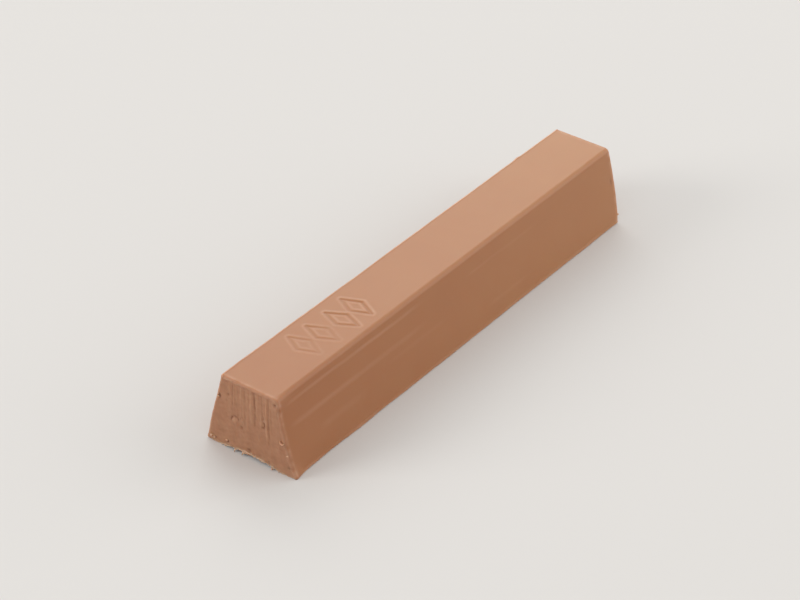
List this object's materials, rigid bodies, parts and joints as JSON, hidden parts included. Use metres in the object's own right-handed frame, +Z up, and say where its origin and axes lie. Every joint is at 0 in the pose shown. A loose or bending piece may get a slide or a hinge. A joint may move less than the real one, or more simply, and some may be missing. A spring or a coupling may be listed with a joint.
{
  "type": "furniture repair wax stick",
  "caption": "Short cast bar of hard tan repair wax with a trapezoid section, rounded top edges, two cut ends, a shallow hollow under the foot and a row of punched lozenges on the top.",
  "frame": {"origin": "middle of the bar's foot, half way between the two cuts, on the plane that the bar rests on", "axes": "+X along the bar from the cut beside the punched marks to the far cut, +Y across the bar, +Z up from the foot to the narrower top"},
  "size_m": [0.0909, 0.0172, 0.0135],
  "materials": {
    "wax": "smooth cast hard wax, soft satin",
    "wax_scraps": "torn wax, paler where it is thin"
  },
  "bodies": {
    "root": {"wax_bar": "wax", "near_rim_slivers": "wax_scraps", "near_rim_curl": "wax_scraps", "near_face_crumbs": "wax_scraps", "far_rim_crumb": "wax_scraps"}
  },
  "joints": []
}
